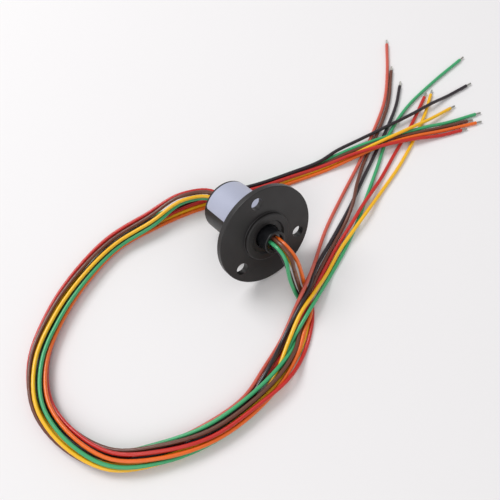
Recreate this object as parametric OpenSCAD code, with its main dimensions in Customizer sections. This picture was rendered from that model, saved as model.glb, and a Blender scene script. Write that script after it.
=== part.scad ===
// Capsule slip ring with a mounting flange: six circuits, six leads on each side.
// The origin is the centre of the flange's rear (mounting) face, on the rotor's axis.
// +Z is up and the nose points towards -Y and upwards, because the housing rests on
// two rims: the flange's and the one at its rear end.

/* [Housing] */
// Outside diameter of the housing behind the flange
body_d = 12.8; // [12.4:0.1:14]
// Length of the housing behind the flange
body_l = 15.3; // [15:0.1:20]
// Wall of the housing round the ring stack
wall = 1; // [0.7:0.05:1.1]
// Chamfer on the housing's rear rim
rear_chamfer = 0.3; // [0.1:0.05:0.5]
// Diameter of the raised boss in front of the flange
boss_d = 12; // [10.4:0.1:14]
// Height of the boss above the flange
boss_l = 0.9; // [0.7:0.05:1.5]
// Edge rounding of the boss
boss_round = 0.35; // [0.1:0.05:0.5]
// Diameter of the recess in the boss round the nose
recess_d = 8.6; // [8:0.1:9.4]
// Depth of that recess
recess_l = 0.5; // [0.2:0.05:0.6]
// Thickness of the lip that keeps the front bearing in
lip_t = 0.6; // [0.4:0.05:0.9]

/* [Flange] */
// Diameter of the flange
flange_d = 24.8; // [24.4:0.1:30]
// Thickness of the flange
flange_t = 1.5; // [1.2:0.1:2.5]
// Diameter of the mounting holes
hole_d = 3; // [2.2:0.1:3.4]
// Diameter of the circle through the holes' centres
pcd = 19; // [18.4:0.1:20]
// Number of mounting holes
hole_count = 3; // [2:1:6]
// Edge break on the flange's rim
flange_break = 0.15; // [0.05:0.05:0.3]

/* [Rotor] */
// Outside diameter of the hollow shaft in its bearings
shaft_d = 4; // [3.8:0.1:4.1]
// Bore of the hollow shaft, which the rotor's leads run through
shaft_bore = 3; // [2.6:0.1:3.1]
// Step on the shaft that the bearings' inner races stand against
shoulder = 0.1; // [0.08:0.02:0.2]
// Diameter of the nose
nose_d = 5.6; // [5.2:0.1:5.9]
// How far the nose stands out of the boss
nose_out = 2.7; // [1.8:0.1:4]
// Bore of the nose's mouth
mouth_d = 4.2; // [4.1:0.05:4.5]
// Depth of the mouth down to the potting
mouth_l = 0.7; // [0.4:0.1:1.2]
// Thickness of the potting in the nose
nose_pot_t = 0.8; // [0.5:0.1:1.2]
// Rounding of the nose's rim
nose_round = 0.25; // [0.1:0.05:0.35]
// Running gap round the nose
nose_gap = 0.35; // [0.2:0.05:0.5]

/* [Bearings] */
// Outside diameter of each bearing
bearing_d = 7; // [6.8:0.1:7.4]
// Width of each bearing
bearing_w = 2; // [1.8:0.1:2.4]
// Thickness of the inner and outer races
race_t = 0.45; // [0.4:0.01:0.48]
// Diameter of the balls
ball_d = 0.94; // [0.86:0.02:0.94]
// Number of balls in each bearing
ball_count = 7; // [5:1:8]
// Wall of the cage that spaces the balls
cage_t = 0.4; // [0.2:0.05:0.45]
// Width of the cage
cage_w = 1.4; // [1.2:0.1:1.6]

/* [Ring stack] */
// Number of circuits, and so of contact rings
ring_count = 6; // [2:1:6]
// Diameter of the contact rings
ring_d = 5.4; // [5.2:0.1:5.6]
// Width of each contact ring
ring_w = 0.8; // [0.6:0.05:0.8]
// Depth of the track in each ring
track_l = 0.1; // [0.06:0.02:0.14]
// Diameter of the insulating barriers between the rings
barrier_d = 6.2; // [6:0.1:6.4]
// Thickness of each barrier
barrier_w = 0.5; // [0.4:0.05:0.5]
// Length of the stack's end spacers
spacer_l = 0.75; // [0.5:0.05:0.9]
// Diameter of the end spacers
spacer_d = 4.8; // [4.4:0.1:4.8]

/* [Brushes] */
// Diameter of the wire brushes
brush_d = 0.24; // [0.16:0.02:0.26]
// Length of each brush from the foot of its block
brush_l = 4; // [3.2:0.1:4.2]
// How deep each brush stands in its block
brush_seat = 0.6; // [0.3:0.1:0.8]
// Thickness of the brush blocks' backs
block_t = 1.1; // [0.8:0.1:1.2]
// Height of the foot that holds the brushes
foot_t = 1; // [0.8:0.1:1.1]

/* [Rear end] */
// Thickness of the rear cap
cap_t = 1.2; // [1:0.1:1.5]
// Diameter of the opening that the housing's leads leave through
exit_d = 5; // [4:0.1:6]
// Depth of that opening down to the potting
exit_l = 0.5; // [0.3:0.1:0.7]
// Thickness of the rim that keeps the rear bearing in its carrier
carrier_rim = 0.5; // [0.4:0.05:0.6]
// Room between the housing's rear end and the bearing carrier
rear_room = 2.3; // [2.2:0.1:3]
// Gap between the shaft's rear end and the cap
tail_gap = 0.7; // [0.4:0.1:1]
// Thickness of the shaft's retaining clip
clip_t = 0.3; // [0.2:0.05:0.3]
// Diameter of the retaining clip
clip_d = 5.4; // [5:0.1:5.8]
// Depth of the clip's groove in the shaft
clip_groove = 0.2; // [0.1:0.05:0.25]

/* [Label] */
// Thickness of the label
label_t = 0.06; // [0.04:0.01:0.12]
// Distance from the housing's rear end to the label
label_back = 0.9; // [0.6:0.1:2]
// Distance from the flange to the label
label_front = 0.35; // [0.2:0.05:1]
// Angle that the label wraps round the housing
label_wrap = 140; // [100:5:160]
// Corner radius at the label's rear end
label_round = 0.9; // [0.4:0.1:1.5]

/* [Leads] */
// Diameter of the leads over their insulation
lead_d = 0.9; // [0.7:0.05:0.9]
// Diameter of the tinned wire at the leads' free ends
wire_d = 0.5; // [0.3:0.05:0.6]
// Length of the stripped ends
strip_l = 2; // [1:0.5:4]
// Radius of the circle that the leads leave the housing on
fan_r = 1.08; // [1.05:0.01:1.1]

/* [Hidden] */
$fn = 64;

// Radii
body_r = body_d / 2;
bore_r = body_r - wall;
flange_r = flange_d / 2;
shaft_r = shaft_d / 2;
nose_r = nose_d / 2;
lip_r = nose_r + nose_gap;
seat_r = bearing_d / 2;
pitch_r = (seat_r + shaft_r) / 2;
ball_r = ball_d / 2;
groove_r = ball_r + 0.03;
outer_in_r = seat_r - race_t;
inner_out_r = shaft_r + race_t;
ring_r = ring_d / 2;
track_r = ring_r - track_l;
track_w = brush_d + 0.06;
stack_bore = shaft_r + shoulder;
brush_x = track_r + brush_d / 2 + 0.02;

// Positions along the axis, from the flange's rear face towards the nose
z_boss = flange_t + boss_l;
z_recess = z_boss - recess_l;
z_front = z_recess - lip_t;
z_front_back = z_front - bearing_w;
z_tip = z_boss + nose_out;
z_mouth = z_tip - mouth_l;
z_shaft_end = z_mouth - nose_pot_t;
z_end = -body_l;
z_carrier = z_end + rear_room;
z_rear_back = z_carrier + carrier_rim;
z_rear = z_rear_back + bearing_w;
stack_l = z_front_back - z_rear;
ring_pitch = (stack_l - barrier_w - 2 * spacer_l) / ring_count;
z_cap = z_end + cap_t;
z_pot = z_end + exit_l;
z_shaft_tail = z_cap + tail_gap;

// The housing lies on the flange's rim and on its own rear rim
tilt = atan((flange_r - body_r) / (body_l - rear_chamfer));
floor_z = -flange_r * cos(tilt);

// Colours
black_plastic = [0.16, 0.16, 0.165];
gold = [0.83, 0.68, 0.32];
steel = [0.72, 0.73, 0.75];
orange = [0.94, 0.45, 0.08];
brown = [0.34, 0.2, 0.15];
green = [0.24, 0.66, 0.42];
red = [0.75, 0.08, 0.08];
black = [0.1, 0.09, 0.1];
yellow = [0.98, 0.77, 0.12];
tin = [0.78, 0.78, 0.76];

// Turns the axis frame (Z towards the nose) into the part's own frame
module lay() {
    rotate([90 - tilt, 0, 0]) children();
}

// A straight run of the axis at height z
module at(z) {
    translate([0, 0, z]) children();
}

module ring_body(r_in, r_out, l) {
    difference() {
        cylinder(r = r_out, h = l);
        translate([0, 0, -1]) cylinder(r = r_in, h = l + 2);
    }
}

// Quarter-round profile points about (x, y), from angle a to b
function arc(x, y, r, a, b, n = 5) =
    [for (i = [0:n]) let (t = a + (b - a) * i / n) [x + r * cos(t), y + r * sin(t)]];

// Housing: flange, boss and tube in one moulding, with the front bearing's seat
module stator_housing() {
    br = boss_d / 2;
    fb = flange_break;
    profile = concat(
        [[lip_r, z_front], [lip_r, z_recess], [recess_d / 2 - 0.15, z_recess],
         [recess_d / 2, z_recess + 0.15], [recess_d / 2, z_boss - 0.1],
         [recess_d / 2 + 0.1, z_boss]],
        arc(br - boss_round, z_boss - boss_round, boss_round, 90, 0),
        [[br, flange_t + 0.12], [br + 0.12, flange_t]],
        arc(flange_r - fb, flange_t - fb, fb, 90, 0, 3),
        arc(flange_r - fb, fb, fb, 0, -90, 3),
        [[body_r + 0.2, 0], [body_r, -0.2], [body_r, z_end + rear_chamfer],
         [body_r - rear_chamfer, z_end], [bore_r, z_end], [bore_r, z_front_back],
         [seat_r, z_front_back], [seat_r, z_front]]);
    color(black_plastic) lay() difference() {
        rotate_extrude($fn = 128) polygon(profile);
        for (i = [0:hole_count - 1])
            rotate([0, 0, 90 + 360 * i / hole_count])
                translate([pcd / 2, 0, -1]) cylinder(d = hole_d, h = flange_t + 2, $fn = 48);
    }
}

// Rear cap, pressed into the tube, with a skirt that keeps the carrier in place
module rear_cap() {
    color(black_plastic) lay() difference() {
        union() {
            at(z_end) cylinder(r = bore_r, h = cap_t);
            at(z_cap) ring_body(bore_r - 0.8, bore_r, z_carrier - z_cap);
        }
        at(z_end - 1) cylinder(d = exit_d, h = cap_t + 2);
    }
}

module rear_potting() {
    color([0.07, 0.07, 0.08]) lay() at(z_pot) cylinder(d = exit_d, h = z_cap - z_pot);
}

// Carrier that holds the rear bearing in the tube
module rear_carrier() {
    color(black_plastic) lay() difference() {
        at(z_carrier) cylinder(r = bore_r, h = z_rear - z_carrier);
        at(z_rear_back) cylinder(r = seat_r, h = bearing_w + 1);
        at(z_carrier - 1) cylinder(r = outer_in_r + 0.05, h = bearing_w + 2);
    }
}

// Label round the upper side of the tube, with round corners at its rear end
module label_corner(angle, side) {
    r = label_round;
    outline = concat([[1, -1], [1, r]], arc(0.05 - r, r - 0.05, r, 0, -90, 6), [[0.05 - r, -1]]);
    rotate([0, 0, angle]) translate([body_r - 1, 0, z_end + label_back])
        rotate([90, 0, 90]) linear_extrude(2) polygon([for (p = outline) [side * p[0], p[1]]]);
}

module label() {
    start = 150 - label_wrap;
    color([0.74, 0.75, 0.83]) lay() difference() {
        rotate([0, 0, start]) at(z_end + label_back)
            rotate_extrude(angle = label_wrap, $fn = 128)
                translate([body_r, 0]) square([label_t, body_l - label_back - label_front]);
        label_corner(150, 1);
        label_corner(start, -1);
    }
}

// Outer race, its track and its inner bore, standing on z = 0
module outer_race() {
    color(steel) difference() {
        ring_body(outer_in_r, seat_r, bearing_w);
        at(bearing_w / 2) rotate_extrude() translate([pitch_r, 0]) circle(r = groove_r, $fn = 32);
    }
}

module inner_race() {
    color(steel) difference() {
        ring_body(shaft_r, inner_out_r, bearing_w);
        at(bearing_w / 2) rotate_extrude() translate([pitch_r, 0]) circle(r = groove_r, $fn = 32);
    }
}

module balls() {
    color([0.85, 0.85, 0.87]) at(bearing_w / 2)
        for (i = [0:ball_count - 1])
            rotate([0, 0, 360 * i / ball_count]) translate([pitch_r, 0, 0])
                sphere(r = ball_r, $fn = 24);
}

module cage() {
    color(gold) difference() {
        at((bearing_w - cage_w) / 2) ring_body(pitch_r - cage_t / 2, pitch_r + cage_t / 2, cage_w);
        at(bearing_w / 2) for (i = [0:ball_count - 1])
            rotate([0, 0, 360 * i / ball_count]) translate([pitch_r, 0, 0])
                sphere(r = groove_r, $fn = 24);
    }
}

module front_bearing_outer() { lay() at(z_front_back) outer_race(); }
module rear_bearing_outer() { lay() at(z_rear_back) outer_race(); }
module front_bearing_inner() { lay() at(z_front_back) inner_race(); }
module rear_bearing_inner() { lay() at(z_rear_back) inner_race(); }
module front_bearing_balls() { lay() at(z_front_back) balls(); }
module rear_bearing_balls() { lay() at(z_rear_back) balls(); }
module front_bearing_cage() { lay() at(z_front_back) cage(); }
module rear_bearing_cage() { lay() at(z_rear_back) cage(); }

// Middle of contact ring i, counted from the nose
barrier_step = 0.08;
function ring_z(i) = z_front_back - spacer_l - barrier_w - ring_w / 2 - i * ring_pitch;

// Brush block: a back against the tube's bore and a foot that the wires stand in
foot_y = -2.4;
block_x = bore_r - block_t;
module brush_block(side) {
    block_z = z_rear + 0.3;
    block_h = stack_l - 0.6;
    color([0.2, 0.2, 0.22]) lay() difference() {
        intersection() {
            at(block_z) cylinder(r = bore_r, h = block_h);
            union() {
                translate([side > 0 ? block_x : -bore_r, foot_y - foot_t, block_z])
                    cube([block_t, brush_l + foot_t - brush_seat, block_h]);
                translate([side > 0 ? barrier_d / 2 - 0.75 : -bore_r, foot_y - foot_t, block_z])
                    cube([bore_r - barrier_d / 2 + 0.75, foot_t, block_h]);
            }
        }
        for (i = [0:ring_count - 1])
            translate([side * brush_x, foot_y - brush_seat, ring_z(i)])
                rotate([-90, 0, 0]) cylinder(d = brush_d + 0.04, h = brush_seat + 1, $fn = 16);
    }
}

module brush_set(side) {
    color(gold) lay() for (i = [0:ring_count - 1])
        translate([side * brush_x, foot_y - brush_seat, ring_z(i)])
            rotate([-90, 0, 0]) cylinder(d = brush_d, h = brush_l, $fn = 16);
}

module brush_block_left() { brush_block(-1); }
module brush_block_right() { brush_block(1); }
module brushes_left() { brush_set(-1); }
module brushes_right() { brush_set(1); }

// Hollow shaft with a raised middle that the ring stack slides onto
module rotor_shaft() {
    color([0.25, 0.25, 0.27]) lay() difference() {
        rotate_extrude() polygon([
            [shaft_bore / 2, z_shaft_tail], [shaft_r, z_shaft_tail],
            [shaft_r, z_rear_back - clip_t - 0.05], [shaft_r - clip_groove, z_rear_back - clip_t - 0.05],
            [shaft_r - clip_groove, z_rear_back], [shaft_r, z_rear_back], [shaft_r, z_rear],
            [stack_bore, z_rear], [stack_bore, z_front_back], [shaft_r, z_front_back],
            [shaft_r, z_shaft_end], [shaft_bore / 2, z_shaft_end]]);
    }
}

module contact_ring(i) {
    color(gold) lay() at(ring_z(i)) rotate_extrude() polygon([
        [stack_bore, -ring_w / 2], [ring_r, -ring_w / 2], [ring_r, -track_w / 2 - 0.06],
        [track_r, -track_w / 2], [track_r, track_w / 2], [ring_r, track_w / 2 + 0.06],
        [ring_r, ring_w / 2], [stack_bore, ring_w / 2]]);
}

module ring_1() { contact_ring(0); }
module ring_2() { contact_ring(1); }
module ring_3() { contact_ring(2); }
module ring_4() { contact_ring(3); }
module ring_5() { contact_ring(4); }
module ring_6() { contact_ring(5); }

// Barrier i in front of ring i; the first and the last carry the end spacers
module barrier(i) {
    w = i == 0 || i == ring_count ? barrier_w : ring_pitch - ring_w;
    z_low = i == ring_count ? z_rear + spacer_l : ring_z(i) + ring_w / 2;
    color([0.12, 0.13, 0.15]) lay() difference() {
        union() {
            at(z_low) cylinder(r = barrier_d / 2 - barrier_step, h = w);
            at(z_low + barrier_step) cylinder(d = barrier_d, h = w - 2 * barrier_step);
            if (i == 0) at(z_low) cylinder(d = spacer_d, h = w + spacer_l);
            if (i == ring_count) at(z_rear) cylinder(d = spacer_d, h = spacer_l + w);
        }
        at(z_low - spacer_l - 1) cylinder(r = stack_bore, h = w + 2 * spacer_l + 2);
    }
}

module barrier_1() { barrier(0); }
module barrier_2() { barrier(1); }
module barrier_3() { barrier(2); }
module barrier_4() { barrier(3); }
module barrier_5() { barrier(4); }
module barrier_6() { barrier(5); }
module barrier_7() { barrier(6); }

// Nose that stands on the front bearing's inner race and carries the leads' mouth
module rotor_nose() {
    foot = 0.15;
    color(black_plastic) lay() rotate_extrude($fn = 96) polygon(concat(
        [[shaft_r, z_front], [inner_out_r - 0.05, z_front], [inner_out_r - 0.05, z_front + foot],
         [nose_r, z_front + foot]],
        arc(nose_r - nose_round, z_tip - nose_round, nose_round, 0, 90, 4),
        [[mouth_d / 2 + 0.15, z_tip], [mouth_d / 2, z_tip - 0.15], [mouth_d / 2, z_shaft_end],
         [shaft_r, z_shaft_end]]));
}

module nose_potting() {
    color([0.07, 0.07, 0.08]) lay() at(z_shaft_end) cylinder(d = mouth_d, h = nose_pot_t);
}

module retaining_clip() {
    color(steel) lay() at(z_rear_back - clip_t) difference() {
        ring_body(shaft_r - clip_groove, clip_d / 2, clip_t);
        translate([0, -1.3, -1]) cube([clip_d, 2.6, clip_t + 2]);
    }
}

// Leads. Points are [x, y, height above the resting surface]; side-by-side offsets are
// [sideways, height]. Both bundles share the loop: the housing's leads run through it
// from the rear end to the front, the rotor's leads the other way.
loop = [[-27.5, 24, 1.95, 265], [-38, 21, 1.95, 255], [-48.5, 15.5, 1.95, 240],
    [-57, 8, 1.95, 222], [-61, -1, 1.95, 200], [-60, -11, 1.95, 175], [-55, -20, 1.95, 145],
    [-46, -25, 1.95, 110], [-35.5, -27.8, 1.95, 75], [-25, -28, 1.95, 65]];
loop_w = 2.05;
loop_h = 1.45;
rear_way = [[-1.2, 19.3, 4.9], [-7, 22.7, 4.9]];
rear_join = [[-17, 23.5]];
front_way = [[-17, -24.8], [-9.5, -21.4], [-3, -18.5], [2.5, -15.9], [9, -12.5]];
nose_way = [[0.02, -6.8, 14], [0.08, -8.05, 13.8], [0.12, -9.15, 13.2], [0.14, -10, 12.25],
    [0.16, -10.6, 10.7], [0.25, -11.6, 7.9], [0.4, -12.6, 5.2], [0.53, -13.35, 3.15],
    [0.6, -14.5, 1.7]];
nose_flat = [0, 0, 0, 0.3, 0.7, 1, 1, 1, 1];
nose_spread = [1, 1.05, 1.2, 1.4, 1.65, 1.85, 1.8, 1.6, 1.35];
cross_way = [[0.25, -16.2], [-1.5, -18.9], [-4.6, -21.6], [-8.8, -24.4], [-14, -26.4]];
back_way = [[-17, 23.5], [-7.5, 22.2], [1.5, 19.5], [10.5, 16], [20, 13.4], [29, 11.1],
    [37.5, 9.2], [46, 6.9], [54.5, 4.3]];

function unit(v) = v / norm(v);
// Level unit vector to the right of the way from p to q
function right_of(p, q) = let (d = unit([q[0] - p[0], q[1] - p[1]])) [d[1], -d[0], 0];
function up_h(p) = [p[0], p[1], floor_z + p[2]];

// Offsets of one lead from a line of stations
function row(st, off, side, before, after) = [for (i = [0:len(off) - 1])
    let (p = i == 0 ? before : st[i - 1],
        q = i == len(off) - 1 ? after : st[i + 1],
        o = side * right_of(p, q))
    up_h([st[i][0] + off[i][0] * o[0], st[i][1] + off[i][0] * o[1], off[i][1]])];

// One lead of six in a round bundle, at angle a, flattened to two rows of three by flat
function fan(st, a, side, before, after, flat, place, spread) = [for (i = [0:len(st) - 1])
    let (p = i == 0 ? before : st[i - 1],
        q = i == len(st) - 1 ? after : st[i + 1],
        t = unit(q - p),
        l = side * unit(cross(t, [0, 0, 1])),
        m = side * cross(l, t),
        n = m[2] < 0 ? -m : m,
        k = len(flat) > 0 ? flat[i] : 0,
        w = len(spread) > 0 ? spread[i] : 1,
        u = w * ((1 - k) * fan_r * cos(a) + k * place[0]),
        v = (1 - k) * fan_r * sin(a) + k * place[1],
        c = up_h(st[i]))
    c + u * l + v * n];

// One lead's place in the loop: round the outside at angle a, or in the middle at x
function in_loop(turn, a, x, core) = [for (i = [0:len(loop) - 1])
    let (o = right_of(loop[max(i - 1, 0)], loop[min(i + 1, len(loop) - 1)]),
        b = loop[i][3] + turn + a,
        u = core ? x : loop_w * cos(b),
        v = core ? 0 : loop_h * sin(b))
    up_h([loop[i][0] + u * o[0], loop[i][1] + u * o[1], loop[i][2] + v])];

function reverse(v) = [for (i = [len(v) - 1:-1:0]) v[i]];
// Point of the axis frame in the part's frame
function laid(r, a, z) = let (x = r * cos(a), y = r * sin(a))
    [x, -z * cos(tilt) + y * sin(tilt), z * sin(tilt) + y * cos(tilt)];

// Smooth line through the points, with one more point between each two
function seg(p, i) = norm(p[i + 1] - p[i]);
function dir(p, i) = (p[i + 1] - p[i]) / seg(p, i);
function tangent(p, i) = let (n = len(p) - 1)
    i == 0 ? dir(p, 0) : i == n ? dir(p, n - 1) :
    (dir(p, i - 1) * seg(p, i) + dir(p, i) * seg(p, i - 1)) / (seg(p, i) + seg(p, i - 1));
function mid(p, i) = (p[i] + p[i + 1]) / 2 + (tangent(p, i) - tangent(p, i + 1)) * seg(p, i) / 8;
function rest(p) = [p[0], p[1], max(p[2], floor_z + lead_d / 2 + 0.01)];
function smooth(p) = [for (i = [0:len(p) - 2], k = [0, 1]) rest(k == 0 ? p[i] : mid(p, i))];
function route(p) = concat(smooth(p), [rest(p[len(p) - 1])]);

// Round tube with eight sides along the line
module tube(line, d) {
    n = len(line);
    sides = 8;
    function heading(i) = unit(line[min(i + 1, n - 1)] - line[max(i - 1, 0)]);
    pts = [for (i = [0:n - 1]) let (t = heading(i), l = unit(cross(t, [0, 0, 1])), m = cross(l, t))
        for (k = [0:sides - 1]) let (a = 360 * (k + 0.5) / sides)
            line[i] + d / 2 * (cos(a) * l + sin(a) * m)];
    walls = [for (i = [0:n - 2], k = [0:sides - 1])
        let (a = i * sides + k, b = i * sides + (k + 1) % sides)
        each [[a, a + sides, b], [b, a + sides, b + sides]]];
    polyhedron(concat(pts), concat(walls,
        [[for (k = [0:sides - 1]) k]],
        [[for (k = [sides - 1:-1:0]) (n - 1) * sides + k]]));
}

function stator_route(a, join, turn_a, core_x, core, off, tail) = route(concat(
    [laid(fan_r, a, z_pot), laid(fan_r, a, z_pot - 2.4)],
    fan(rear_way, a, 1, [0, 16, 5.1], [-17, 23.5, 3.6], [], [0, 0], []),
    row(rear_join, join, -1, [-27.5, 24], [-7, 22.7]),
    in_loop(180, turn_a, core_x, core),
    row(front_way, off, 1, [-25, -28], [16.5, -8.5]),
    [for (p = tail) up_h(p)]));

function rotor_route(a, place, turn_a, core_x, core, off, back, after, tail) = route(concat(
    [laid(fan_r, a, z_mouth), laid(fan_r, a, z_tip + 0.9)],
    fan(nose_way, a, -1, [0, -5.57, 13.74], [0.25, -16.2, 0.95], nose_flat, place, nose_spread),
    row(cross_way, off, -1, [0.6, -14.5], [-25, -28]),
    reverse(in_loop(0, turn_a, core_x, core)),
    row(back_way, back, -1, [-27.5, 24], after),
    [for (p = tail) up_h(p)]));

stator_orange = stator_route(-30, [[2, 2.9]], -80, 0, false,
    [[-1.65, 1.2], [-1.35, 0.5], [-1.75, 2.35], [-1.85, 5], [-2.5, 2]],
    [[16.5, -4.4, 0.47], [27, 1.1, 0.47], [37, 6, 0.47], [47.5, 11.7, 0.47], [57, 17.7, 0.47],
     [65, 25.2, 0.47], [72, 33, 0.47]]);
stator_black = stator_route(270, [[-0.85, 2.9]], 0, -1.1, true,
    [[-0.55, 2.45], [-0.9, 1.5], [-0.95, 3.55], [-0.95, 3.7], [-1.85, 0.9]],
    [[17, -6.9, 0.47], [26, -2.8, 0.47], [34, 1.4, 0.47], [42.5, 5.75, 0.47], [51, 10.2, 0.47],
     [58.5, 14.6, 0.47], [64, 19, 0.47]]);
stator_brown = stator_route(90, [[0.2, 4.2]], 0, 0, false,
    [[-0.5, 0.47], [-0.4, 0.47], [-0.65, 2.45], [-0.65, 2.8], [-0.75, 0.47]],
    [[16, -8.4, 0.47], [21.5, -5.9, 0.6], [26.5, -3.1, 1.42], [32, 1.2, 1.42], [37, 4.6, 0.6],
     [46.5, 9.8, 0.47], [56.5, 15.9, 0.47], [66, 24.6, 0.47]]);
stator_red = stator_route(30, [[1.45, 3.8]], -40, 0, false,
    [[0, 1.35], [0.6, 0.47], [0.3, 2.45], [0.25, 2.4], [0.2, 0.55]],
    [[16, -9.5, 0.47], [23, -6.9, 1.2], [29, -4.5, 1.42], [33, -3.1, 1.3], [38, -1.2, 0.6],
     [46, 2.3, 0.47], [57, 7, 0.47], [66.7, 11.9, 0.47]]);
stator_yellow = stator_route(150, [[-1.15, 3.9]], 40, 0, false,
    [[1.3, 1.05], [0.5, 2.25], [-0.05, 3.35], [0.6, 3.35], [1.2, 0.8]],
    [[16, -10.7, 1.1], [21.5, -8.9, 1.42], [28, -6.8, 1.42], [35, -4.4, 0.6], [45, -1, 0.47],
     [55, 3.4, 0.47], [63, 7.7, 0.47], [68.8, 11.5, 0.47]]);
stator_green = stator_route(210, [[-1.9, 3.1]], 80, 0, false,
    [[2, 0.47], [1.05, 1.35], [1.3, 2.75], [1.6, 2.4], [2.1, 0.47]],
    [[16, -11.7, 0.47], [23, -8.2, 0.47], [31, -3.4, 0.47], [40, 2.1, 0.47], [48.5, 7.5, 0.47],
     [60, 12.1, 0.47], [72, 14.3, 0.47], [84.5, 15.7, 0.47]]);

rotor_green = rotor_route(150, [-0.95, 0.47], 60, 0, false,
    [[-1.15, 1.5], [-1.1, 1.35], [-1.35, 0.5], [-1.05, 1.15], [-1.2, 2.6]],
    [[1.95, 0.75], [1.5, 0.5], [1.45, 0.47], [1.45, 0.47], [1.45, 0.47], [1.45, 0.47],
     [1.45, 1.1], [1.45, 1.4], [0.9, 1.4]], [62, 2.2],
    [[59, 3.7, 1.35], [64.5, 1.7, 0.8], [73.5, -1, 0.47]]);
rotor_brown = rotor_route(90, [0, 0.47], 20, 0, false,
    [[0, 1.5], [0, 1.55], [-0.75, 1.3], [-0.4, 1.8], [-0.05, 2.65]],
    [[1.05, 0.47], [0.45, 0.47], [0.5, 0.47], [0.5, 0.47], [0.5, 0.47], [0.5, 0.47], [0.5, 1.4],
     [0.5, 1.4], [-0.05, 1.4]], [62, 2.2],
    [[62, 1.6, 0.7], [70, -1.3, 0.47]]);
rotor_orange = rotor_route(30, [0.95, 0.47], -60, 0, false,
    [[1.15, 1.45], [0.95, 1.45], [0.25, 1.35], [0.45, 1.4], [1, 1.7]],
    [[-1.5, 0.9], [-1.45, 0.47], [-1.45, 0.47], [-1.45, 0.47], [-1.45, 0.47], [-1.45, 0.47],
     [-1.45, 1.4], [-0.75, 1.4], [-1, 1.4]], [62, 2.2],
    [[62, 0.4, 0.7], [71.5, -3.2, 0.47]]);
rotor_red = rotor_route(330, [1.25, -0.47], -20, 0, false,
    [[1.5, 0.55], [1.45, 0.47], [1.6, 0.47], [1.7, 0.6], [2.05, 2.2]],
    [[-0.6, 1.85], [-0.05, 1.4], [-0.1, 1.4], [-0.2, 1.4], [-0.3, 1.4], [-0.5, 1.4], [-1, 2.35],
     [-1.5, 2.35], [-1.95, 1.5]], [62, 2.2],
    [[60.5, -0.4, 0.6], [66.5, -2.6, 0.47]]);
rotor_black = rotor_route(210, [-0.45, -0.47], 0, 0, true,
    [[-0.55, 0.6], [-0.45, 0.47], [-0.3, 0.47], [-0.35, 0.47], [-0.25, 1.25]],
    [[0.15, 2.65], [1.05, 1.45], [0.95, 1.4], [0.9, 1.4], [0.85, 1.45], [1.2, 1.5]], [37.5, 9.2],
    [[34.5, 12.3, 1.42], [41.5, 11.4, 1.42], [50, 10.3, 1.42], [59, 9.2, 1.42], [66, 8.6, 1.42],
     [72.5, 8.2, 0.47], [79, 7.7, 0.47]]);
rotor_yellow = rotor_route(270, [0.4, -0.47], 0, 1, true,
    [[0.5, 0.6], [0.5, 0.47], [0.65, 0.47], [0.6, 0.47], [0.6, 0.85]],
    [[-0.4, 0.47], [-0.5, 0.47], [-0.5, 0.47], [-0.5, 0.47], [-0.5, 0.47], [-0.5, 0.47],
     [-0.5, 1.4], [0.05, 2.35], [1.3, 2.35]], [62, 2.2],
    [[62, 4.9, 1.42], [69.5, 4.6, 0.6]]);

// The rotor's leads: their first millimetre turns with the nose, the rest lies free
module lead(line, paint) {
    color(paint) tube(line, lead_d);
}
function free(line) = [for (i = [2:len(line) - 1]) line[i]];

module stator_lead_orange() { lead(stator_orange, [0.79, 0.36, 0.29]); }
module stator_lead_black() { lead(stator_black, black); }
module stator_lead_brown() { lead(stator_brown, brown); }
module stator_lead_yellow() { lead(stator_yellow, yellow); }
module stator_lead_green() { lead(stator_green, green); }
module stator_lead_red() { lead(stator_red, red); }
module rotor_lead_orange() { lead(free(rotor_orange), orange); }
module rotor_lead_brown() { lead(free(rotor_brown), brown); }
module rotor_lead_green() { lead(free(rotor_green), green); }
module rotor_lead_red() { lead(free(rotor_red), red); }
module rotor_lead_black() { lead(free(rotor_black), black); }
module rotor_lead_yellow() { lead(free(rotor_yellow), yellow); }

module rotor_lead_stubs() {
    color(black) lay() for (a = [30:60:330])
        rotate([0, 0, a]) translate([fan_r, 0, z_mouth])
            cylinder(d = lead_d, h = mouth_l + 0.8, $fn = 24);
}

// Tinned end of a lead, straight on from the insulation
module tip(line) {
    n = len(line);
    e = line[n - 1];
    v = unit(e - line[n - 2]);
    color(tin) translate(e) rotate([0, acos(v[2]), atan2(v[1], v[0])])
        cylinder(d = wire_d, h = strip_l, $fn = 16);
}

module stator_lead_tips() {
    for (line = [stator_orange, stator_black, stator_brown, stator_yellow, stator_green, stator_red])
        tip(line);
}

module rotor_lead_tips() {
    for (line = [rotor_orange, rotor_brown, rotor_green, rotor_red, rotor_black, rotor_yellow])
        tip(line);
}

stator_housing();
rear_cap();
rear_carrier();
label();
brush_block_left();
brush_block_right();
brushes_left();
brushes_right();
front_bearing_outer();
rear_bearing_outer();
rear_potting();
stator_lead_orange();
stator_lead_black();
stator_lead_brown();
stator_lead_yellow();
stator_lead_green();
stator_lead_red();
rotor_lead_orange();
rotor_lead_brown();
rotor_lead_green();
rotor_lead_red();
rotor_lead_black();
rotor_lead_yellow();
stator_lead_tips();
rotor_lead_tips();
rotor_shaft();
ring_1();
ring_2();
ring_3();
ring_4();
ring_5();
ring_6();
barrier_1();
barrier_2();
barrier_3();
barrier_4();
barrier_5();
barrier_6();
barrier_7();
front_bearing_inner();
rear_bearing_inner();
rotor_nose();
nose_potting();
retaining_clip();
rotor_lead_stubs();
front_bearing_balls();
front_bearing_cage();
rear_bearing_balls();
rear_bearing_cage();
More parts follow.
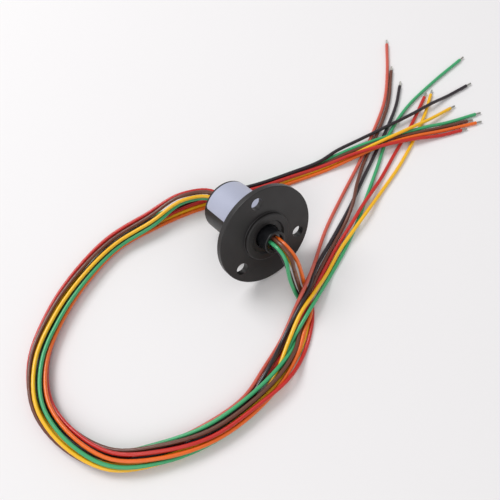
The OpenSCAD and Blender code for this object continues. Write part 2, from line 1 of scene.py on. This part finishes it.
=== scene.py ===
import math
import bmesh
import bpy
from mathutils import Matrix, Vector


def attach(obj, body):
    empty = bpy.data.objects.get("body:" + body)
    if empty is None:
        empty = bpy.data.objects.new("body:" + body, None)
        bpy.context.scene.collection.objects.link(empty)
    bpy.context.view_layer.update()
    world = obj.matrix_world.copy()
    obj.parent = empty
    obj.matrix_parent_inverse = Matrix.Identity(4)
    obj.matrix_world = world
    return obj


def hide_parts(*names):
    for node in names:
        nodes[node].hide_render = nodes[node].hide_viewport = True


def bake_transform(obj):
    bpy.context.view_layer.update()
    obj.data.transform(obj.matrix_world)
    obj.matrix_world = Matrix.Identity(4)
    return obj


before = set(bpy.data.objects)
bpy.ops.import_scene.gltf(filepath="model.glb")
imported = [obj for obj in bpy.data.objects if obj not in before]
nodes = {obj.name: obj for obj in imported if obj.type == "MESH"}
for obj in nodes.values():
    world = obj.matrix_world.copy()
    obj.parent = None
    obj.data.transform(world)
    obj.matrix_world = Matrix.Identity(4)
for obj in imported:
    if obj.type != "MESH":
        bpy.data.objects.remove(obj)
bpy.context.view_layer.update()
mm = 0.001

# Sizes that the leads take from the solids, in mm and degrees
housing = {"flangeRadius": 12.4, "bodyRadius": 6.4, "bodyLength": 15.3, "rearChamfer": 0.3,
           "rearPotting": -14.8, "mouthFloor": 4.4, "noseTip": 5.1}
tilt = math.atan2(housing["flangeRadius"] - housing["bodyRadius"],
                  housing["bodyLength"] - housing["rearChamfer"])
floorZ = -housing["flangeRadius"] * math.cos(tilt)


def linear(hexColour):
    values = [int(hexColour[i:i + 2], 16) / 255 for i in (1, 3, 5)]
    return tuple(v / 12.92 if v < 0.04045 else ((v + 0.055) / 1.055) ** 2.4 for v in values) + (1,)


print("camera")
cameraSettings = {"place": (-50.96, -61.91, 138.65), "forward": (0.2906, 0.38, -0.8781), "lens": 50}
cameraData = bpy.data.cameras.new("viewCamera")
cameraData.lens = cameraSettings["lens"]
cameraData.sensor_width = 36
cameraData.clip_start = 0.005
camera = bpy.data.objects.new("viewCamera", cameraData)
bpy.context.scene.collection.objects.link(camera)
camera.location = Vector(cameraSettings["place"]) * mm
camera.rotation_euler = Vector(cameraSettings["forward"]).to_track_quat("-Z", "Y").to_euler()
bpy.context.scene.camera = camera

# stations are x, y, height above the table, in mm; offsets are sideways, height
print("leads")
leadRoute = {
    "loop": [(-27.5, 24, 1.95, 265), (-38, 21, 1.95, 255), (-48.5, 15.5, 1.95, 240),
             (-57, 8, 1.95, 222), (-61, -1, 1.95, 200), (-60, -11, 1.95, 175), (-55, -20, 1.95, 145),
             (-46, -25, 1.95, 110), (-35.5, -27.8, 1.95, 75), (-25, -28, 1.95, 65)],
    "loopWidth": 2.05, "loopHeight": 1.45, "fanRadius": 1.08,
    "rearWay": [(-1.2, 19.3, 4.9), (-7, 22.7, 4.9)],
    "rearJoin": [(-17, 23.5)],
    "rearRun": 2.4, "noseRun": 0.9,  # straight out of the potting and past the nose
    "rearEnds": ((0, 16, 5.1), (-17, 23.5, 3.6)), "joinEnds": ((-27.5, 24), (-7, 22.7)),
    "frontEnds": ((-25, -28), (16.5, -8.5)), "noseEnds": ((0, -5.57, 13.74), (0.25, -16.2, 0.95)),
    "crossEnds": ((0.6, -14.5), (-25, -28)), "backStart": (-27.5, 24),
    "frontWay": [(-17, -24.8), (-9.5, -21.4), (-3, -18.5), (2.5, -15.9), (9, -12.5)],
    "noseWay": [(0.02, -6.8, 14), (0.08, -8.05, 13.8), (0.12, -9.15, 13.2), (0.14, -10, 12.25),
                (0.16, -10.6, 10.7), (0.25, -11.6, 7.9), (0.4, -12.6, 5.2), (0.53, -13.35, 3.15),
                (0.6, -14.5, 1.7)],
    "noseFlat": [0, 0, 0, 0.3, 0.7, 1, 1, 1, 1],
    "noseSpread": [1, 1.05, 1.2, 1.4, 1.65, 1.85, 1.8, 1.6, 1.35],
    "crossWay": [(0.25, -16.2), (-1.5, -18.9), (-4.6, -21.6), (-8.8, -24.4), (-14, -26.4)],
    "backWay": [(-17, 23.5), (-7.5, 22.2), (1.5, 19.5), (10.5, 16), (20, 13.4), (29, 11.1),
                (37.5, 9.2), (46, 6.9), (54.5, 4.3)],
}
# angle in the round bundle, first offset, angle (or middle place) in the loop,
# offsets at the front, free end
statorLeads = {
    "orange": (-30, [(2, 2.9)], -80, None,
               [(-1.65, 1.2), (-1.35, 0.5), (-1.75, 2.35), (-1.85, 5), (-2.5, 2)],
               [(16.5, -4.4, 0.47), (27, 1.1, 0.47), (37, 6, 0.47), (47.5, 11.7, 0.47),
                (57, 17.7, 0.47), (65, 25.2, 0.47), (72, 33, 0.47)]),
    "black": (270, [(-0.85, 2.9)], 0, -1.1,
              [(-0.55, 2.45), (-0.9, 1.5), (-0.95, 3.55), (-0.95, 3.7), (-1.85, 0.9)],
              [(17, -6.9, 0.47), (26, -2.8, 0.47), (34, 1.4, 0.47), (42.5, 5.75, 0.47),
               (51, 10.2, 0.47), (58.5, 14.6, 0.47), (64, 19, 0.47)]),
    "brown": (90, [(0.2, 4.2)], 0, None,
              [(-0.5, 0.47), (-0.4, 0.47), (-0.65, 2.45), (-0.65, 2.8), (-0.75, 0.47)],
              [(16, -8.4, 0.47), (21.5, -5.9, 0.6), (26.5, -3.1, 1.42), (32, 1.2, 1.42),
               (37, 4.6, 0.6), (46.5, 9.8, 0.47), (56.5, 15.9, 0.47), (66, 24.6, 0.47)]),
    "red": (30, [(1.45, 3.8)], -40, None,
            [(0, 1.35), (0.6, 0.47), (0.3, 2.45), (0.25, 2.4), (0.2, 0.55)],
            [(16, -9.5, 0.47), (23, -6.9, 1.2), (29, -4.5, 1.42), (33, -3.1, 1.3),
             (38, -1.2, 0.6), (46, 2.3, 0.47), (57, 7, 0.47), (66.7, 11.9, 0.47)]),
    "yellow": (150, [(-1.15, 3.9)], 40, None,
               [(1.3, 1.05), (0.5, 2.25), (-0.05, 3.35), (0.6, 3.35), (1.2, 0.8)],
               [(16, -10.7, 1.1), (21.5, -8.9, 1.42), (28, -6.8, 1.42), (35, -4.4, 0.6),
                (45, -1, 0.47), (55, 3.4, 0.47), (63, 7.7, 0.47), (68.8, 11.5, 0.47)]),
    "green": (210, [(-1.9, 3.1)], 80, None,
              [(2, 0.47), (1.05, 1.35), (1.3, 2.75), (1.6, 2.4), (2.1, 0.47)],
              [(16, -11.7, 0.47), (23, -8.2, 0.47), (31, -3.4, 0.47), (40, 2.1, 0.47),
               (48.5, 7.5, 0.47), (60, 12.1, 0.47), (72, 14.3, 0.47), (84.5, 15.7, 0.47)]),
}
# angle, place in the two rows of three, angle (or middle place) in the loop,
# offsets at the front, offsets at the back, what they head for, free end
rotorLeads = {
    "green": (150, (-0.95, 0.47), 60, None,
              [(-1.15, 1.5), (-1.1, 1.35), (-1.35, 0.5), (-1.05, 1.15), (-1.2, 2.6)],
              [(1.95, 0.75), (1.5, 0.5), (1.45, 0.47), (1.45, 0.47), (1.45, 0.47), (1.45, 0.47),
               (1.45, 1.1), (1.45, 1.4), (0.9, 1.4)], (62, 2.2),
              [(59, 3.7, 1.35), (64.5, 1.7, 0.8), (73.5, -1, 0.47)]),
    "brown": (90, (0, 0.47), 20, None,
              [(0, 1.5), (0, 1.55), (-0.75, 1.3), (-0.4, 1.8), (-0.05, 2.65)],
              [(1.05, 0.47), (0.45, 0.47), (0.5, 0.47), (0.5, 0.47), (0.5, 0.47), (0.5, 0.47),
               (0.5, 1.4), (0.5, 1.4), (-0.05, 1.4)], (62, 2.2),
              [(62, 1.6, 0.7), (70, -1.3, 0.47)]),
    "orange": (30, (0.95, 0.47), -60, None,
               [(1.15, 1.45), (0.95, 1.45), (0.25, 1.35), (0.45, 1.4), (1, 1.7)],
               [(-1.5, 0.9), (-1.45, 0.47), (-1.45, 0.47), (-1.45, 0.47), (-1.45, 0.47),
                (-1.45, 0.47), (-1.45, 1.4), (-0.75, 1.4), (-1, 1.4)], (62, 2.2),
               [(62, 0.4, 0.7), (71.5, -3.2, 0.47)]),
    "red": (330, (1.25, -0.47), -20, None,
            [(1.5, 0.55), (1.45, 0.47), (1.6, 0.47), (1.7, 0.6), (2.05, 2.2)],
            [(-0.6, 1.85), (-0.05, 1.4), (-0.1, 1.4), (-0.2, 1.4), (-0.3, 1.4), (-0.5, 1.4),
             (-1, 2.35), (-1.5, 2.35), (-1.95, 1.5)], (62, 2.2),
            [(60.5, -0.4, 0.6), (66.5, -2.6, 0.47)]),
    "black": (210, (-0.45, -0.47), 0, 0,
              [(-0.55, 0.6), (-0.45, 0.47), (-0.3, 0.47), (-0.35, 0.47), (-0.25, 1.25)],
              [(0.15, 2.65), (1.05, 1.45), (0.95, 1.4), (0.9, 1.4), (0.85, 1.45), (1.2, 1.5)],
              (37.5, 9.2),
              [(34.5, 12.3, 1.42), (41.5, 11.4, 1.42), (50, 10.3, 1.42), (59, 9.2, 1.42),
               (66, 8.6, 1.42), (72.5, 8.2, 0.47), (79, 7.7, 0.47)]),
    "yellow": (270, (0.4, -0.47), 0, 1,
               [(0.5, 0.6), (0.5, 0.47), (0.65, 0.47), (0.6, 0.47), (0.6, 0.85)],
               [(-0.4, 0.47), (-0.5, 0.47), (-0.5, 0.47), (-0.5, 0.47), (-0.5, 0.47), (-0.5, 0.47),
                (-0.5, 1.4), (0.05, 2.35), (1.3, 2.35)], (62, 2.2),
               [(62, 4.9, 1.42), (69.5, 4.6, 0.6)]),
}


def polar(degrees, radius=1.0):
    return radius * math.cos(math.radians(degrees)), radius * math.sin(math.radians(degrees))


def laid(x, y, z):  # a point of the housing's own axes, as it lies
    return Vector((x, -z * math.cos(tilt) + y * math.sin(tilt),
                   z * math.sin(tilt) + y * math.cos(tilt)))


def rightOf(p, q):
    way = Vector((q[0] - p[0], q[1] - p[1])).normalized()
    return Vector((way[1], -way[0], 0))


def above(p):
    return Vector((p[0], p[1], floorZ + p[2]))


def rowOf(stations, offsets, side, before, after):
    line = [before] + stations[:len(offsets)] + [after]
    points = []
    for i, (across, height) in enumerate(offsets):
        place = Vector(line[i + 1][:2]).to_3d() + side * across * rightOf(line[i], line[i + 2])
        points.append(above((place.x, place.y, height)))
    return points


def fanOf(stations, angle, side, before, after, flat=None, place=(0, 0), spread=None):
    line = [Vector(p) for p in [before] + stations + [after]]
    points = []
    for i in range(len(stations)):
        way = (line[i + 2] - line[i]).normalized()
        across = way.cross(Vector((0, 0, 1))).normalized() * side
        upward = across.cross(way)
        if upward.z < 0:
            upward = -upward
        share = flat[i] if flat else 0
        u, v = polar(angle, leadRoute["fanRadius"])
        u, v = (1 - share) * u + share * place[0], (1 - share) * v + share * place[1]
        if spread:
            u *= spread[i]
        points.append(above(line[i + 1]) + u * across + v * upward)
    return points


def loopOf(turn, angle, middle):
    loop = leadRoute["loop"]
    points = []
    for i, (x, y, height, phase) in enumerate(loop):
        across = rightOf(loop[max(i - 1, 0)], loop[min(i + 1, len(loop) - 1)])
        u, v = polar(phase + turn + angle)
        if middle is None:
            u, v = u * leadRoute["loopWidth"], v * leadRoute["loopHeight"]
        else:
            u, v = middle, 0
        points.append(above((x + u * across.x, y + u * across.y, height + v)))
    return points


def smoothLine(points, steps, diameter):
    count = len(points)
    lengths = [(points[i + 1] - points[i]).length for i in range(count - 1)]
    ways = [(points[i + 1] - points[i]) / lengths[i] for i in range(count - 1)]
    tangents = [ways[0]]
    for i in range(1, count - 1):
        before, after = lengths[i - 1], lengths[i]
        tangents.append((ways[i - 1] * after + ways[i] * before) / (after + before))
    tangents.append(ways[-1])
    line = []
    for i in range(count - 1):
        for k in range(steps):
            t = k / steps
            line.append((2 * t ** 3 - 3 * t ** 2 + 1) * points[i]
                        + (t ** 3 - 2 * t ** 2 + t) * lengths[i] * tangents[i]
                        + (3 * t ** 2 - 2 * t ** 3) * points[i + 1]
                        + (t ** 3 - t ** 2) * lengths[i] * tangents[i + 1])
    line.append(points[-1])
    for p in line:
        p.z = max(p.z, floorZ + diameter / 2 + 0.01)
    return line


def tubeMesh(name, line, diameter, sides=16):
    bm = bmesh.new()
    rings = []
    side = None
    for i, point in enumerate(line):
        way = (line[min(i + 1, len(line) - 1)] - line[max(i - 1, 0)]).normalized()
        if side is None:
            side = way.cross(Vector((0, 0, 1))).normalized()
        side = (side - way * side.dot(way)).normalized()
        up = side.cross(way)
        ring = []
        for k in range(sides):
            u, v = polar(360 * k / sides, diameter / 2)
            ring.append(bm.verts.new((point + u * side + v * up) * mm))
        rings.append(ring)
    for first, second in zip(rings, rings[1:]):
        for k in range(sides):
            m = (k + 1) % sides
            bm.faces.new((first[k], first[m], second[m], second[k]))
    bm.faces.new(list(reversed(rings[0])))
    bm.faces.new(rings[-1])
    bmesh.ops.recalc_face_normals(bm, faces=bm.faces)
    mesh = bpy.data.meshes.new(name)
    bm.to_mesh(mesh)
    bm.free()
    mesh.polygons.foreach_set("use_smooth", [True] * len(mesh.polygons))
    mesh.set_sharp_from_angle(angle=math.radians(40))
    piece = bpy.data.objects.new(name, mesh)
    bpy.context.scene.collection.objects.link(piece)
    return piece


leadStyle = {"diameter": 0.9, "steps": 6, "rootSpans": 5, "blend": (5.2, 8.6)}
statorLines = {}
for colour, (angle, join, turn, middle, offsets, tail) in statorLeads.items():
    points = [laid(*polar(angle, leadRoute["fanRadius"]), housing["rearPotting"] - back)
              for back in (0, leadRoute["rearRun"])]
    points += fanOf(leadRoute["rearWay"], angle, 1, *leadRoute["rearEnds"])
    points += rowOf(leadRoute["rearJoin"], join, -1, *leadRoute["joinEnds"])
    points += loopOf(180, turn, middle)
    points += rowOf(leadRoute["frontWay"], offsets, 1, *leadRoute["frontEnds"])
    points += [above(p) for p in tail]
    statorLines[colour] = smoothLine(points, leadStyle["steps"], leadStyle["diameter"])

rotorLines = {}
for colour, (angle, place, turn, middle, offsets, back, after, tail) in rotorLeads.items():
    points = [laid(*polar(angle, leadRoute["fanRadius"]), z)
              for z in (housing["mouthFloor"], housing["noseTip"] + leadRoute["noseRun"])]
    points += fanOf(leadRoute["noseWay"], angle, -1, *leadRoute["noseEnds"],
                    leadRoute["noseFlat"], place, leadRoute["noseSpread"])
    points += rowOf(leadRoute["crossWay"], offsets, -1, *leadRoute["crossEnds"])
    points += reversed(loopOf(0, turn, middle))
    points += rowOf(leadRoute["backWay"], back, -1, leadRoute["backStart"], after)
    points += [above(p) for p in tail]
    rotorLines[colour] = smoothLine(points, leadStyle["steps"], leadStyle["diameter"])

# seven fine strands in a twist, dipped in tin
print("bare ends")
strandStyle = {"strands": 6, "strand": 0.17, "core": 0.2, "sides": 8, "twist": 150, "length": 1.8,
               "steps": 8, "spread": 0.165, "hidden": 0.15}


def strandLine(start, way, phase, radius):
    side = way.cross(Vector((0, 0, 1))).normalized()
    up = side.cross(way)
    line = []
    for i in range(strandStyle["steps"] + 1):
        share = i / strandStyle["steps"]
        u, v = polar(phase + share * strandStyle["twist"], radius)
        line.append(start + way * share * strandStyle["length"] + u * side + v * up)
    return line


def joinPieces(pieces, name):
    bpy.ops.object.select_all(action="DESELECT")
    for piece in pieces:
        piece.select_set(True)
    bpy.context.view_layer.objects.active = pieces[0]
    bpy.ops.object.join()
    pieces[0].name = name
    return pieces[0]


def bareEnds(name, lines, node):
    strands = []
    for line in lines:
        way = (line[-1] - line[-2]).normalized()
        start = line[-1] - way * strandStyle["hidden"]
        strands.append(tubeMesh("strand", strandLine(start, way, 0, 0), strandStyle["core"],
                                strandStyle["sides"]))
        for k in range(strandStyle["strands"]):
            phase = 360 * k / strandStyle["strands"]
            strands.append(tubeMesh("strand", strandLine(start, way, phase, strandStyle["spread"]),
                                    strandStyle["strand"], strandStyle["sides"]))
    piece = joinPieces(strands, name)
    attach(piece, "stator")
    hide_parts(node)
    return piece


statorTips = bareEnds("statorBareEnds", statorLines.values(), "stator_lead_tips")
rotorTips = bareEnds("rotorBareEnds", rotorLines.values(), "rotor_lead_tips")
leadPieces = {}


def freeLead(name, line, node):
    piece = tubeMesh(name, line, leadStyle["diameter"])
    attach(piece, "stator")
    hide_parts(node)
    return piece


for colour, line in statorLines.items():
    leadPieces["stator", colour] = freeLead("statorLead_" + colour, line,
                                            "stator_lead_" + colour)
for colour, line in rotorLines.items():
    split = leadStyle["rootSpans"] * leadStyle["steps"]  # the first bends out of the nose make a piece of their own
    root = tubeMesh("rotorLeadRoot_" + colour, line[:split + 1], leadStyle["diameter"])
    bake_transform(root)
    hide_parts("rotor_lead_stubs")
    leadPieces["root", colour] = root
    leadPieces["rotor", colour] = freeLead("rotorLead_" + colour, line[split:],
                                           "rotor_lead_" + colour)


# shader groups: masks and values that several finishes share
def newGroup(name, inputs, outputs):
    group = bpy.data.node_groups.new(name, "ShaderNodeTree")
    for label, kind, value in inputs:
        socket = group.interface.new_socket(label, in_out="INPUT", socket_type=kind)
        socket.default_value = value
    for label, kind in outputs:
        group.interface.new_socket(label, in_out="OUTPUT", socket_type=kind)
    return group, group.nodes.new("NodeGroupInput"), group.nodes.new("NodeGroupOutput")


def makeGrain():  # fine moulded texture: a height and a roughness that vary
    group, source, result = newGroup("mouldedGrain", [
        ("Scale", "NodeSocketFloat", 2500.0), ("Smooth", "NodeSocketFloat", 0.4),
        ("Rough", "NodeSocketFloat", 0.6)],
        [("Height", "NodeSocketFloat"), ("Roughness", "NodeSocketFloat")])
    tree, link = group.nodes, group.links.new
    coords = tree.new("ShaderNodeTexCoord")
    fine = tree.new("ShaderNodeTexNoise")
    fine.inputs["Detail"].default_value = 4
    broad = tree.new("ShaderNodeTexNoise")
    broad.inputs["Scale"].default_value = 260
    broad.inputs["Detail"].default_value = 5
    spread = tree.new("ShaderNodeMapRange")
    spread.inputs["From Min"].default_value = 0.3
    spread.inputs["From Max"].default_value = 0.7
    link(coords.outputs["Object"], fine.inputs["Vector"])
    link(coords.outputs["Object"], broad.inputs["Vector"])
    link(source.outputs["Scale"], fine.inputs["Scale"])
    link(broad.outputs["Fac"], spread.inputs["Value"])
    link(source.outputs["Smooth"], spread.inputs["To Min"])
    link(source.outputs["Rough"], spread.inputs["To Max"])
    link(fine.outputs["Fac"], result.inputs["Height"])
    link(spread.outputs["Result"], result.inputs["Roughness"])
    return group


def makeTint():  # slow change between two close colours
    group, source, result = newGroup("slowTint", [
        ("Colour", "NodeSocketColor", (0.5, 0.5, 0.5, 1)),
        ("Other", "NodeSocketColor", (0.4, 0.4, 0.4, 1)),
        ("Scale", "NodeSocketFloat", 150.0)], [("Colour", "NodeSocketColor")])
    tree, link = group.nodes, group.links.new
    coords = tree.new("ShaderNodeTexCoord")
    noise = tree.new("ShaderNodeTexNoise")
    noise.inputs["Detail"].default_value = 3
    mix = tree.new("ShaderNodeMix")
    mix.data_type = "RGBA"
    link(coords.outputs["Object"], noise.inputs["Vector"])
    link(source.outputs["Scale"], noise.inputs["Scale"])
    link(noise.outputs["Fac"], mix.inputs["Factor"])
    link(source.outputs["Colour"], mix.inputs["A"])
    link(source.outputs["Other"], mix.inputs["B"])
    link(mix.outputs["Result"], result.inputs["Colour"])
    return group


mouldedGrain = makeGrain()
slowTint = makeTint()


def newMaterial(name, style):
    material = bpy.data.materials.new(name)
    material.use_nodes = True
    tree = material.node_tree
    shader = tree.nodes["Principled BSDF"]
    tint = tree.nodes.new("ShaderNodeGroup")
    tint.node_tree = slowTint
    tint.inputs["Colour"].default_value = linear(style["colour"])
    tint.inputs["Other"].default_value = linear(style.get("other", style["colour"]))
    tint.inputs["Scale"].default_value = style.get("tintScale", 150)
    tree.links.new(tint.outputs["Colour"], shader.inputs["Base Color"])
    grain = tree.nodes.new("ShaderNodeGroup")
    grain.node_tree = mouldedGrain
    grain.inputs["Scale"].default_value = style.get("grainScale", 2500)
    grain.inputs["Smooth"].default_value = style["rough"][0]
    grain.inputs["Rough"].default_value = style["rough"][1]
    tree.links.new(grain.outputs["Roughness"], shader.inputs["Roughness"])
    bump = tree.nodes.new("ShaderNodeBump")
    bump.inputs["Strength"].default_value = style.get("bump", 0.1)
    bump.inputs["Distance"].default_value = style.get("bumpDepth", 0.00003)
    tree.links.new(grain.outputs["Height"], bump.inputs["Height"])
    tree.links.new(bump.outputs["Normal"], shader.inputs["Normal"])
    shader.inputs["Metallic"].default_value = style.get("metal", 0)
    shader.inputs["Coat Weight"].default_value = style.get("coat", 0)
    shader.inputs["Coat Roughness"].default_value = style.get("coatRough", 0.1)
    shader.inputs["IOR"].default_value = style.get("ior", 1.5)
    return material


print("materials")
finishes = {
    "blackPlastic": {"colour": "#1c1b1c", "other": "#242020", "rough": (0.36, 0.5), "bump": 0.3,
                     "tintScale": 90},
    # nose plastic darker than the housing plastic: painted shade of the recess around the nose
    "nosePlasticPaintedShade": {"colour": "#0f1013", "other": "#15161a", "rough": (0.3, 0.42), "bump": 0.15},
    "innerPlastic": {"colour": "#1b1c20", "other": "#232428", "rough": (0.4, 0.5)},
    "potting": {"colour": "#060709", "other": "#0c0e11", "rough": (0.08, 0.2), "coat": 0.5,
                "bump": 0.05},
    "foilLabel": {"colour": "#b4b8cc", "other": "#abafc4", "rough": (0.34, 0.46), "metal": 0.1,
                  "bump": 0.06},
    "goldContact": {"colour": "#d9b25c", "other": "#caa04a", "rough": (0.18, 0.3), "metal": 1},
    "bearingSteel": {"colour": "#8d8f92", "other": "#7c7e82", "rough": (0.2, 0.35), "metal": 1},
    # cage steel darkened well below bare steel: painted shade for the cage inside the bearing gap
    "cageSteelPaintedShade": {"colour": "#3c3a37", "other": "#2f2d2b", "rough": (0.35, 0.5), "metal": 0.8},
    "shaftPlastic": {"colour": "#26272b", "other": "#1f2024", "rough": (0.35, 0.5)},
    "tinnedWire": {"colour": "#c9c8c2", "other": "#b0aea6", "rough": (0.25, 0.45), "metal": 1},
}
leadColours = {
    "orange": ("#f2701a", "#e66312"), "coral": ("#d2604e", "#c65244"), "black": ("#231a22", "#2b2028"),
    "brown": ("#70402f", "#5f3428"), "yellow": ("#ffc61c", "#f5b512"), "green": ("#3fae73", "#38a067"),
    "red": ("#cf2a20", "#bd1c18"),
}
for colour, (main, other) in leadColours.items():
    finishes["lead" + colour.capitalize()] = {"colour": main, "other": other, "rough": (0.24, 0.36),
                                              "coat": 0.25, "coatRough": 0.15, "bump": 0.08}
materials = {name: newMaterial(name, style) for name, style in finishes.items()}


def finish(piece, material):
    piece.data.materials.clear()
    piece.data.materials.append(materials[material])


nodeFinish = {
    "blackPlastic": ["stator_housing", "rear_cap"],
    "nosePlasticPaintedShade": ["rotor_nose"],
    "innerPlastic": ["rear_carrier", "brush_block_left", "brush_block_right"]
    + ["barrier_%d" % i for i in range(1, 8)],
    "potting": ["rear_potting", "nose_potting"],
    "foilLabel": ["label"],
    "goldContact": ["brushes_left", "brushes_right"] + ["ring_%d" % i for i in range(1, 7)],
    "cageSteelPaintedShade": ["front_bearing_cage", "rear_bearing_cage"],
    "bearingSteel": ["front_bearing_outer", "rear_bearing_outer", "front_bearing_inner",
                     "rear_bearing_inner", "front_bearing_balls", "rear_bearing_balls",
                     "retaining_clip"],
    "shaftPlastic": ["rotor_shaft"],
}
for material, names in nodeFinish.items():
    for name in names:
        finish(nodes[name], material)
for piece in (statorTips, rotorTips):
    finish(piece, "tinnedWire")
for (side, colour), piece in leadPieces.items():
    shade = "coral" if (side, colour) == ("stator", "orange") else colour
    finish(piece, "lead" + shade.capitalize())

print("table and light")
bpy.ops.object.select_all(action="DESELECT")
tableTop = {"size": 3.0, "colour": "#efedee", "rough": 0.9}
bpy.ops.mesh.primitive_plane_add(size=tableTop["size"], location=(0, 0, floorZ * mm))
table = bpy.context.object
table.name = "tableTop"
tableMaterial = bpy.data.materials.new("tablePaper")
tableMaterial.use_nodes = True
tableShader = tableMaterial.node_tree.nodes["Principled BSDF"]
tableShader.inputs["Base Color"].default_value = linear(tableTop["colour"])
tableShader.inputs["Roughness"].default_value = tableTop["rough"]
table.data.materials.append(tableMaterial)

roomLight = {"colour": (1, 1, 1, 1), "strength": 0.5}
world = bpy.data.worlds.new("studio")
bpy.context.scene.world = world
world.use_nodes = True
world.node_tree.nodes["Background"].inputs["Color"].default_value = roomLight["colour"]
world.node_tree.nodes["Background"].inputs["Strength"].default_value = roomLight["strength"]
lamps = [
    {"name": "softWindow", "place": (-0.15, 0.42, 0.55), "size": 0.35, "power": 2.9},
    {"name": "fill", "place": (-0.45, -0.35, 0.5), "size": 0.5, "power": 1.3},
]
for lamp in lamps:
    data = bpy.data.lights.new(lamp["name"], "AREA")
    data.energy = lamp["power"]
    data.size = lamp["size"]
    light = bpy.data.objects.new(lamp["name"], data)
    light.location = lamp["place"]
    light.rotation_euler = (-Vector(lamp["place"])).to_track_quat("-Z", "Y").to_euler()
    bpy.context.scene.collection.objects.link(light)
bpy.context.scene.view_settings.view_transform = "Standard"
